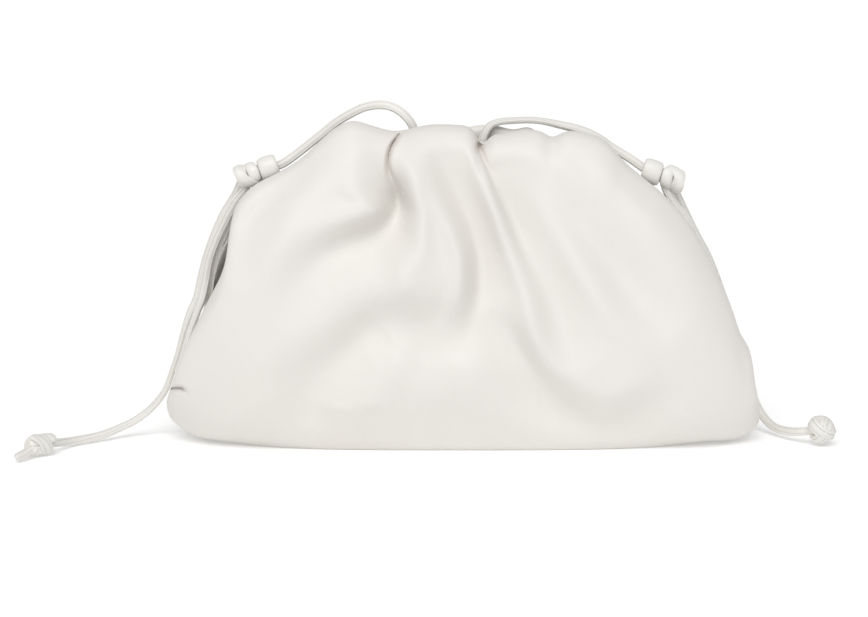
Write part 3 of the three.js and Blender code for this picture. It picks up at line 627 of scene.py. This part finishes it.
def spaced(count, crowds):
    """Shares from 0 to 1, closer together near each crowd: its place, its width and its strength."""
    fine = np.linspace(0, 1, 2001)
    density = 1 + sum(strength * np.exp(-(((fine - at) / width) ** 2)) for at, width, strength in crowds)
    total = np.concatenate([[0], np.cumsum(density[1:] + density[:-1])])
    return np.interp(np.linspace(0, 1, count + 1), total / total[-1], fine)


def smoothstep(share):
    """An even rise from 0 to 1."""
    share = np.clip(share, 0, 1)
    return share * share * (3 - 2 * share)


def outline(stations):
    """A smooth line through stations given in shares of half the width and of the height."""
    points = [(x * pouch_width / 2, 0, z * pouch_height) for x, z in stations]
    return smooth_route(points, 0.25)[:, [0, 2]]


def at_share(line, share):
    """The points of a line at shares of its length."""
    places = np.linspace(0, 1, len(line))
    return np.stack([np.interp(share, places, line[:, axis]) for axis in range(2)], axis=-1)


mouth_line = outline(mouth_stations)
left_end_line = outline(left_end_stations)
right_end_line = outline(right_end_stations)
mouth_length = np.linalg.norm(np.diff(mouth_line, axis=0), axis=1).sum()


def lip_pull(side, along):
    """How far a lip's waves draw it in, in millimetres, at shares of the mouth's length."""
    return sum(depth * pouch_height * np.exp(-(((along - at) / width) ** 2))
               for at, width, depth in lip_waves[side])


def mouth_edge(side, along, inset, drop):
    """The mouth's edge at shares of its length, drawn in where the lips are gathered."""
    share = inset / mouth_length + (1 - 2 * inset / mouth_length) * along
    point = at_share(mouth_line, share)
    nudge = 0.002
    tangent = at_share(mouth_line, share + nudge) - at_share(mouth_line, share - nudge)
    tangent /= np.linalg.norm(tangent, axis=-1)[..., None]
    inward = np.stack([tangent[..., 1], -tangent[..., 0]], axis=-1)
    free = smoothstep(along * hinge_reach) * smoothstep((1 - along) * hinge_reach)
    pull = lip_pull(side, along) + (back_lip_drop if side == "back" else 0)
    return point + inward * (pull * free + drop)[..., None]


def front_view(side, along, down, inset=0.0, drop=0.0, wall=0.0):
    """Where the panel lies seen from the front, blended from its mouth, its ends and its base."""
    def end_line(line, end, sign):
        top = mouth_edge(side, np.full_like(down, end), inset, np.full_like(down, drop)) - line[0]
        bottom = np.array([sign * wall, wall])
        share = down[..., None]
        return at_share(line, down) + (top * (1 - share) + bottom * share if wall else 0)

    left = end_line(left_end_line, 0.0, 1)
    right = end_line(right_end_line, 1.0, -1)
    mouth = mouth_edge(side, along, inset, np.full_like(along, drop))
    base_left, base_right = left_end_line[-1] + wall, right_end_line[-1] + np.array([-wall, wall])
    mouth_left = mouth_edge(side, np.zeros_like(along), inset, np.full_like(along, drop))
    mouth_right = mouth_edge(side, np.ones_like(along), inset, np.full_like(along, drop))
    a, d = along[..., None], down[..., None]
    base = base_left * (1 - a) + base_right * a
    top = mouth_left * (1 - a) + mouth_right * a
    return left * (1 - a) + right * a + mouth * (1 - d) + base * d - (top * (1 - d) + base * d)


def half_depth(down):
    """Half the depth in the middle of the bag: lip, swelling shoulder, belly and fall to the base."""
    lip_radius = lip_thickness / 2
    lip_face = mouth_gap / 2 + lip_thickness
    below = np.clip(down * pouch_height / lip_radius, 0, 1)
    crest = mouth_gap / 2 + lip_radius * (1 + np.sqrt(1 - (1 - below) ** 2))
    swell = np.sin(np.clip(down / belly_at, 0, 1) ** shoulder_power * math.pi / 2)
    fall = np.clip((down - belly_at) / (1 - belly_at), 0, 1)
    round_fall = fall_roundness * np.sqrt(1 - fall**2) + (1 - fall_roundness) * (1 - fall**fall_power)
    low = base_depth / 2 + (belly_depth - base_depth) / 2 * round_fall
    return np.where(down > belly_at, low, crest + (belly_depth / 2 - lip_face) * swell)


def end_taper(along, down):
    """How the depth shrinks towards the bag's two ends."""
    power = belly_bluntness + (lip_bluntness - belly_bluntness) * np.exp(-down / blunt_reach)
    return np.sqrt(np.clip(1 - np.abs(2 * along - 1) ** power, 0, None))


def beside(line, x, z):
    """How far points lie from a line, positive left of it, and the line's values at the nearest place."""
    stations = np.array(line, float)
    columns = range(stations.shape[1])
    steps = np.linspace(0, len(stations) - 1, line_steps * len(stations))
    fine = np.stack([np.interp(steps, range(len(stations)), stations[:, k]) for k in columns], axis=1)
    for _ in range(line_evening):
        fine[1:-1] = 0.5 * fine[1:-1] + 0.25 * (fine[:-2] + fine[2:])
    nearest = np.full(x.shape, np.inf)
    signed = np.zeros(x.shape)
    values = np.zeros(x.shape + (len(columns) - 2,))
    for a, b in zip(fine, fine[1:]):
        step = b[:2] - a[:2]
        share = np.clip(((x - a[0]) * step[0] + (z - a[1]) * step[1]) / (step @ step), 0, 1)
        gap_x, gap_z = x - a[0] - share * step[0], z - a[1] - share * step[1]
        far = np.hypot(gap_x, gap_z)
        closer = far < nearest
        side = -np.sign(step[0] * gap_z - step[1] * gap_x)
        nearest = np.where(closer, far, nearest)
        signed = np.where(closer, side * far, signed)
        values = np.where(closer[..., None], a[2:] + share[..., None] * (b[2:] - a[2:]), values)
    return signed, values


def softened(field, passes):
    """A field on the panel's grid, evened out with its neighbours along and down the panel."""
    for _ in range(passes):
        field = np.pad(field, 1, mode="edge")
        field = 0.5 * field[1:-1, 1:-1] + 0.125 * (
            field[:-2, 1:-1] + field[2:, 1:-1] + field[1:-1, :-2] + field[1:-1, 2:])
    return field


def dents(side, x, z, down):
    """How deep the pleats and creases press each point in, and how much painted shade its leather gets
    beside the creases.
    """
    depth = np.zeros(x.shape)
    for line in pleats[side]:
        signed, values = beside(line, x, z)
        reach = np.abs(signed) / np.where(signed > 0, values[..., 1], values[..., 2])
        ridge = ridge_height * np.exp(-(((reach - ridge_at) / ridge_width) ** 2))
        depth += values[..., 0] * (np.exp(-(reach**2)) - ridge)
    for px, pz, wide, tall, height in puffs[side]:
        depth -= height * np.exp(-(((x - px) / wide) ** 2) - ((z - pz) / tall) ** 2)
    depth = softened(depth, pleat_evening) * smoothstep(down * pleat_onset)
    # Painted shade beside each crease, stronger for a deeper groove
    crease_shade = np.zeros(x.shape)
    below_lip = smoothstep(down * crease_onset)
    for line in creases[side]:
        signed, values = beside(line, x, z)
        groove = np.exp(-((signed / values[..., 1]) ** 2))
        proud = np.where(signed > 0, values[..., 2], values[..., 3])
        lap = proud * np.exp(-((signed / lap_reach) ** 2)) * (1 - groove)
        depth += (values[..., 0] * groove - lap) * below_lip
        crease_shade += values[..., 0] * np.exp(-((signed / crease_shade_reach) ** 2)) * below_lip
    return depth, crease_shade


def skin(side, along, down):
    """Points of a panel's outer skin in millimetres, how much painted crease shade each gets, and its
    depth.

    Below a wave of the lip the leather keeps the fullness of its height, not of the lip's wave.
    """
    flat = front_view(side, along, down)
    depth, crease_shade = dents(side, flat[..., 0], flat[..., 1], down)
    lip_face = mouth_gap / 2 + lip_thickness / 2
    sag = lip_pull(side, along) / at_share(mouth_line, along)[..., 1]
    level = down + sag * (1 - down) * smoothstep(down * wave_onset)
    swollen = half_depth(level) - depth * smoothstep((1 - down) * pleat_end)
    outer = np.maximum(swollen, np.minimum(lip_face, half_depth(down)))
    sign = -1 if side == "front" else 1
    y = sign * outer * end_taper(along, down)
    return np.stack([flat[..., 0], y, flat[..., 1]], axis=-1), crease_shade, outer


def lining(side, along, down, outer):
    """Points of a panel's inner skin: down behind the lip, then a wall's thickness behind the leather."""
    flat = front_view(side, along, down, mouth_end_margin, lip_thickness / 2, leather_wall)
    below_lip = smoothstep((down * pouch_height - lip_reach) / lip_thickness)
    depth = mouth_gap / 2 + (outer - leather_wall - mouth_gap / 2) * below_lip
    sign = -1 if side == "front" else 1
    return np.stack([flat[..., 0], sign * depth * end_taper(along, down), flat[..., 1]], axis=-1)


def lip_roll(side, along, turn):
    """Points of the inner half of a lip's roll, from its crest over into the mouth."""
    drop = lip_thickness / 2 * (1 - np.cos(turn))
    inset = mouth_end_margin * np.sin(turn)
    share = inset / mouth_length + (1 - 2 * inset / mouth_length) * along
    flat = mouth_edge(side, share, 0.0, drop)
    depth = mouth_gap / 2 + lip_thickness / 2 * (1 - np.sin(turn))
    sign = -1 if side == "front" else 1
    y = sign * depth * end_taper(along, np.zeros_like(along))
    return np.stack([flat[..., 0], y, flat[..., 1]], axis=-1)


def lowest_near(field, passes):
    """The least value of a field within some steps, so the lining stays behind the deepest folds."""
    for _ in range(passes):
        wide = np.pad(field, 1, mode="edge")
        field = np.minimum.reduce([field, wide[:-2, 1:-1], wide[2:, 1:-1], wide[1:-1, :-2], wide[1:-1, 2:]])
    return field


def pouch_rings():
    """The rows of the closed shell: lining, front lip, front panel, base, back panel, lip, lining."""
    along = spaced(panel_columns, column_crowds)[:, None]
    lining_down = np.linspace(first_lining_share, 1, lining_rows + 1)[None] ** lining_crowding
    quarter_turn = np.linspace(0, math.pi / 2, roll_rows + 1)[None]
    rows, crease_shades = {}, {}
    for side, count in (("front", front_rows), ("back", back_rows)):
        panel_down = spaced(count, row_crowds)[None]
        a, d = np.broadcast_arrays(along, panel_down)
        outer_skin, crease_shades[side], outer = skin(side, a, d)
        sunk = lowest_near(outer, lining_clearance_steps)
        sunk = np.stack([np.interp(lining_down[0], panel_down[0], column) for column in sunk])
        a, d = np.broadcast_arrays(along, lining_down)
        inner_skin = lining(side, a, d, sunk)
        a, turn = np.broadcast_arrays(along, quarter_turn)
        roll = lip_roll(side, a, turn)
        rows[side] = np.concatenate([inner_skin[:, ::-1], roll[:, :0:-1], outer_skin], axis=1)
    crossing = np.linspace(1, -1, 2 * base_rows + 1)[1:-1]
    base = np.repeat(rows["front"][:, -1:, :], len(crossing), axis=1)
    base[:, :, 1] *= crossing
    shell = np.concatenate([rows["front"], base, rows["back"][:, ::-1]], axis=1)
    inside = np.zeros((panel_columns + 1, lining_rows + 1 + roll_rows))
    under = np.zeros((panel_columns + 1, len(crossing)))
    return shell, np.concatenate([inside, crease_shades["front"], under, crease_shades["back"][:, ::-1], inside], axis=1)


# The leather is smooth, with a satin sheen, a slightly cloudy tone and pores too fine to see from
# afar, and painted shade darkens it a little beside the tight creases.
pouch_leather, tree, bsdf = shader("pouch_leather")
bsdf.inputs["Roughness"].default_value = 0.5
bsdf.inputs["Specular IOR Level"].default_value = 0.4
bsdf.inputs["Sheen Weight"].default_value = 0.08
place = put(tree, "ShaderNodeTexCoord").outputs["Object"]
cloudy = put(tree, "ShaderNodeTexNoise", {"Vector": place, "Scale": 14.0, "Detail": 4.0})
tone = put(tree, "ShaderNodeMix", {"Factor": cloudy.outputs["Fac"]}, data_type="RGBA")
tone.inputs[6].default_value = (0.70, 0.675, 0.635, 1)
tone.inputs[7].default_value = (0.745, 0.725, 0.69, 1)
crease_shade = put(tree, "ShaderNodeAttribute", attribute_name="crease_shade").outputs["Fac"]
# Painted shade: beside the creases the leather's tone is mixed towards a darker, warmer brown.
crease_shaded = put(tree, "ShaderNodeMix", {"Factor": crease_shade, 6: tone.outputs[2]}, data_type="RGBA")
crease_shaded.inputs[7].default_value = (0.62, 0.56, 0.50, 1)
tree.links.new(crease_shaded.outputs[2], bsdf.inputs["Base Color"])
pores = put(tree, "ShaderNodeTexVoronoi", {"Vector": place, "Scale": 1500.0})
fine = put(tree, "ShaderNodeTexNoise", {"Vector": place, "Scale": 420.0, "Detail": 5.0})
height = put(tree, "ShaderNodeMath", {0: pores.outputs["Distance"], 1: fine.outputs["Fac"]},
             operation="ADD")
relief = put(tree, "ShaderNodeBump", {"Strength": 0.1, "Distance": 0.0002, "Height": height.outputs[0]})
tree.links.new(relief.outputs[0], bsdf.inputs["Normal"])

shell_points, shell_crease_shade = pouch_rings()
# The painted crease shade, scaled by the crease's depth and capped
shell_crease_shade = np.clip(shell_crease_shade * crease_shade_for_depth, 0, crease_shade_most)
columns_made, rows_made = shell_crease_shade.shape
index = np.arange(columns_made * rows_made).reshape(columns_made, rows_made)
quads = np.stack([index[:-1, :-1], index[:-1, 1:], index[1:, 1:], index[1:, :-1]], axis=-1).reshape(-1, 4)
pouch_mesh = bpy.data.meshes.new("pouch_shell")
pouch_mesh.from_pydata((shell_points.reshape(-1, 3) * millimetre).tolist(), [], quads.tolist())
marks = pouch_mesh.attributes.new("crease_shade", "FLOAT", "POINT")
marks.data.foreach_set("value", shell_crease_shade.astype(np.float32).ravel())
pouch_mesh.shade_smooth()
pouch_mesh.materials.append(pouch_leather)
pouch = bpy.data.objects.new("pouch_shell", pouch_mesh)
bpy.context.scene.collection.objects.link(pouch)
place_piece(pouch, "pouch_body")


# The studio: a wide white floor that also fills the background, an even white surround, and one
# very soft light from above the viewer and a little from the left.
floor_reach = 12
floor_mesh = bpy.data.meshes.new("floor")
floor_mesh.from_pydata([(-floor_reach, -floor_reach, 0), (floor_reach, -floor_reach, 0),
                        (floor_reach, floor_reach, 0), (-floor_reach, floor_reach, 0)], [], [(0, 1, 2, 3)])
floor = bpy.data.objects.new("floor", floor_mesh)
bpy.context.scene.collection.objects.link(floor)
white_floor, tree, bsdf = shader("white_floor")
bsdf.inputs["Base Color"].default_value = (0.82, 0.82, 0.82, 1)
bsdf.inputs["Roughness"].default_value = 0.9
bsdf.inputs["Emission Color"].default_value = (1, 1, 1, 1)
bsdf.inputs["Emission Strength"].default_value = 0.25
floor_mesh.materials.append(white_floor)

world = bpy.data.worlds.new("surround")
world.use_nodes = True
world.node_tree.nodes["Background"].inputs["Color"].default_value = (1, 1, 1, 1)
world.node_tree.nodes["Background"].inputs["Strength"].default_value = 0.5
bpy.context.scene.world = world
lamp = bpy.data.objects.new("soft_light", bpy.data.lights.new("soft_light", "SUN"))
lamp.data.energy = 1.9
lamp.data.angle = math.radians(50)
lamp.rotation_euler = Vector((0.12, 0.8, -1.0)).to_track_quat("-Z", "Y").to_euler()
bpy.context.scene.collection.objects.link(lamp)
bpy.context.scene.view_settings.view_transform = "Standard"


# The strap's pieces as cords: each runs from a knot, and its length is its route's.
cord_facts = {
    "strap": ("knot", "taut", ["left_slider_knot", "right_slider_knot"]),
    "left_anchor_strand": ("object", "hanging", []),
    "right_anchor_strand": ("object", "hanging", []),
    "left_tail": ("knot", "loose", ["left_end_knot"]),
    "right_tail": ("knot", "loose", ["right_end_knot"]),
}
for name, (far_end, lay, on_it) in cord_facts.items():
    route = smooth_route(np.array(strip_routes[name]) * millimetre, strip_ring_step)
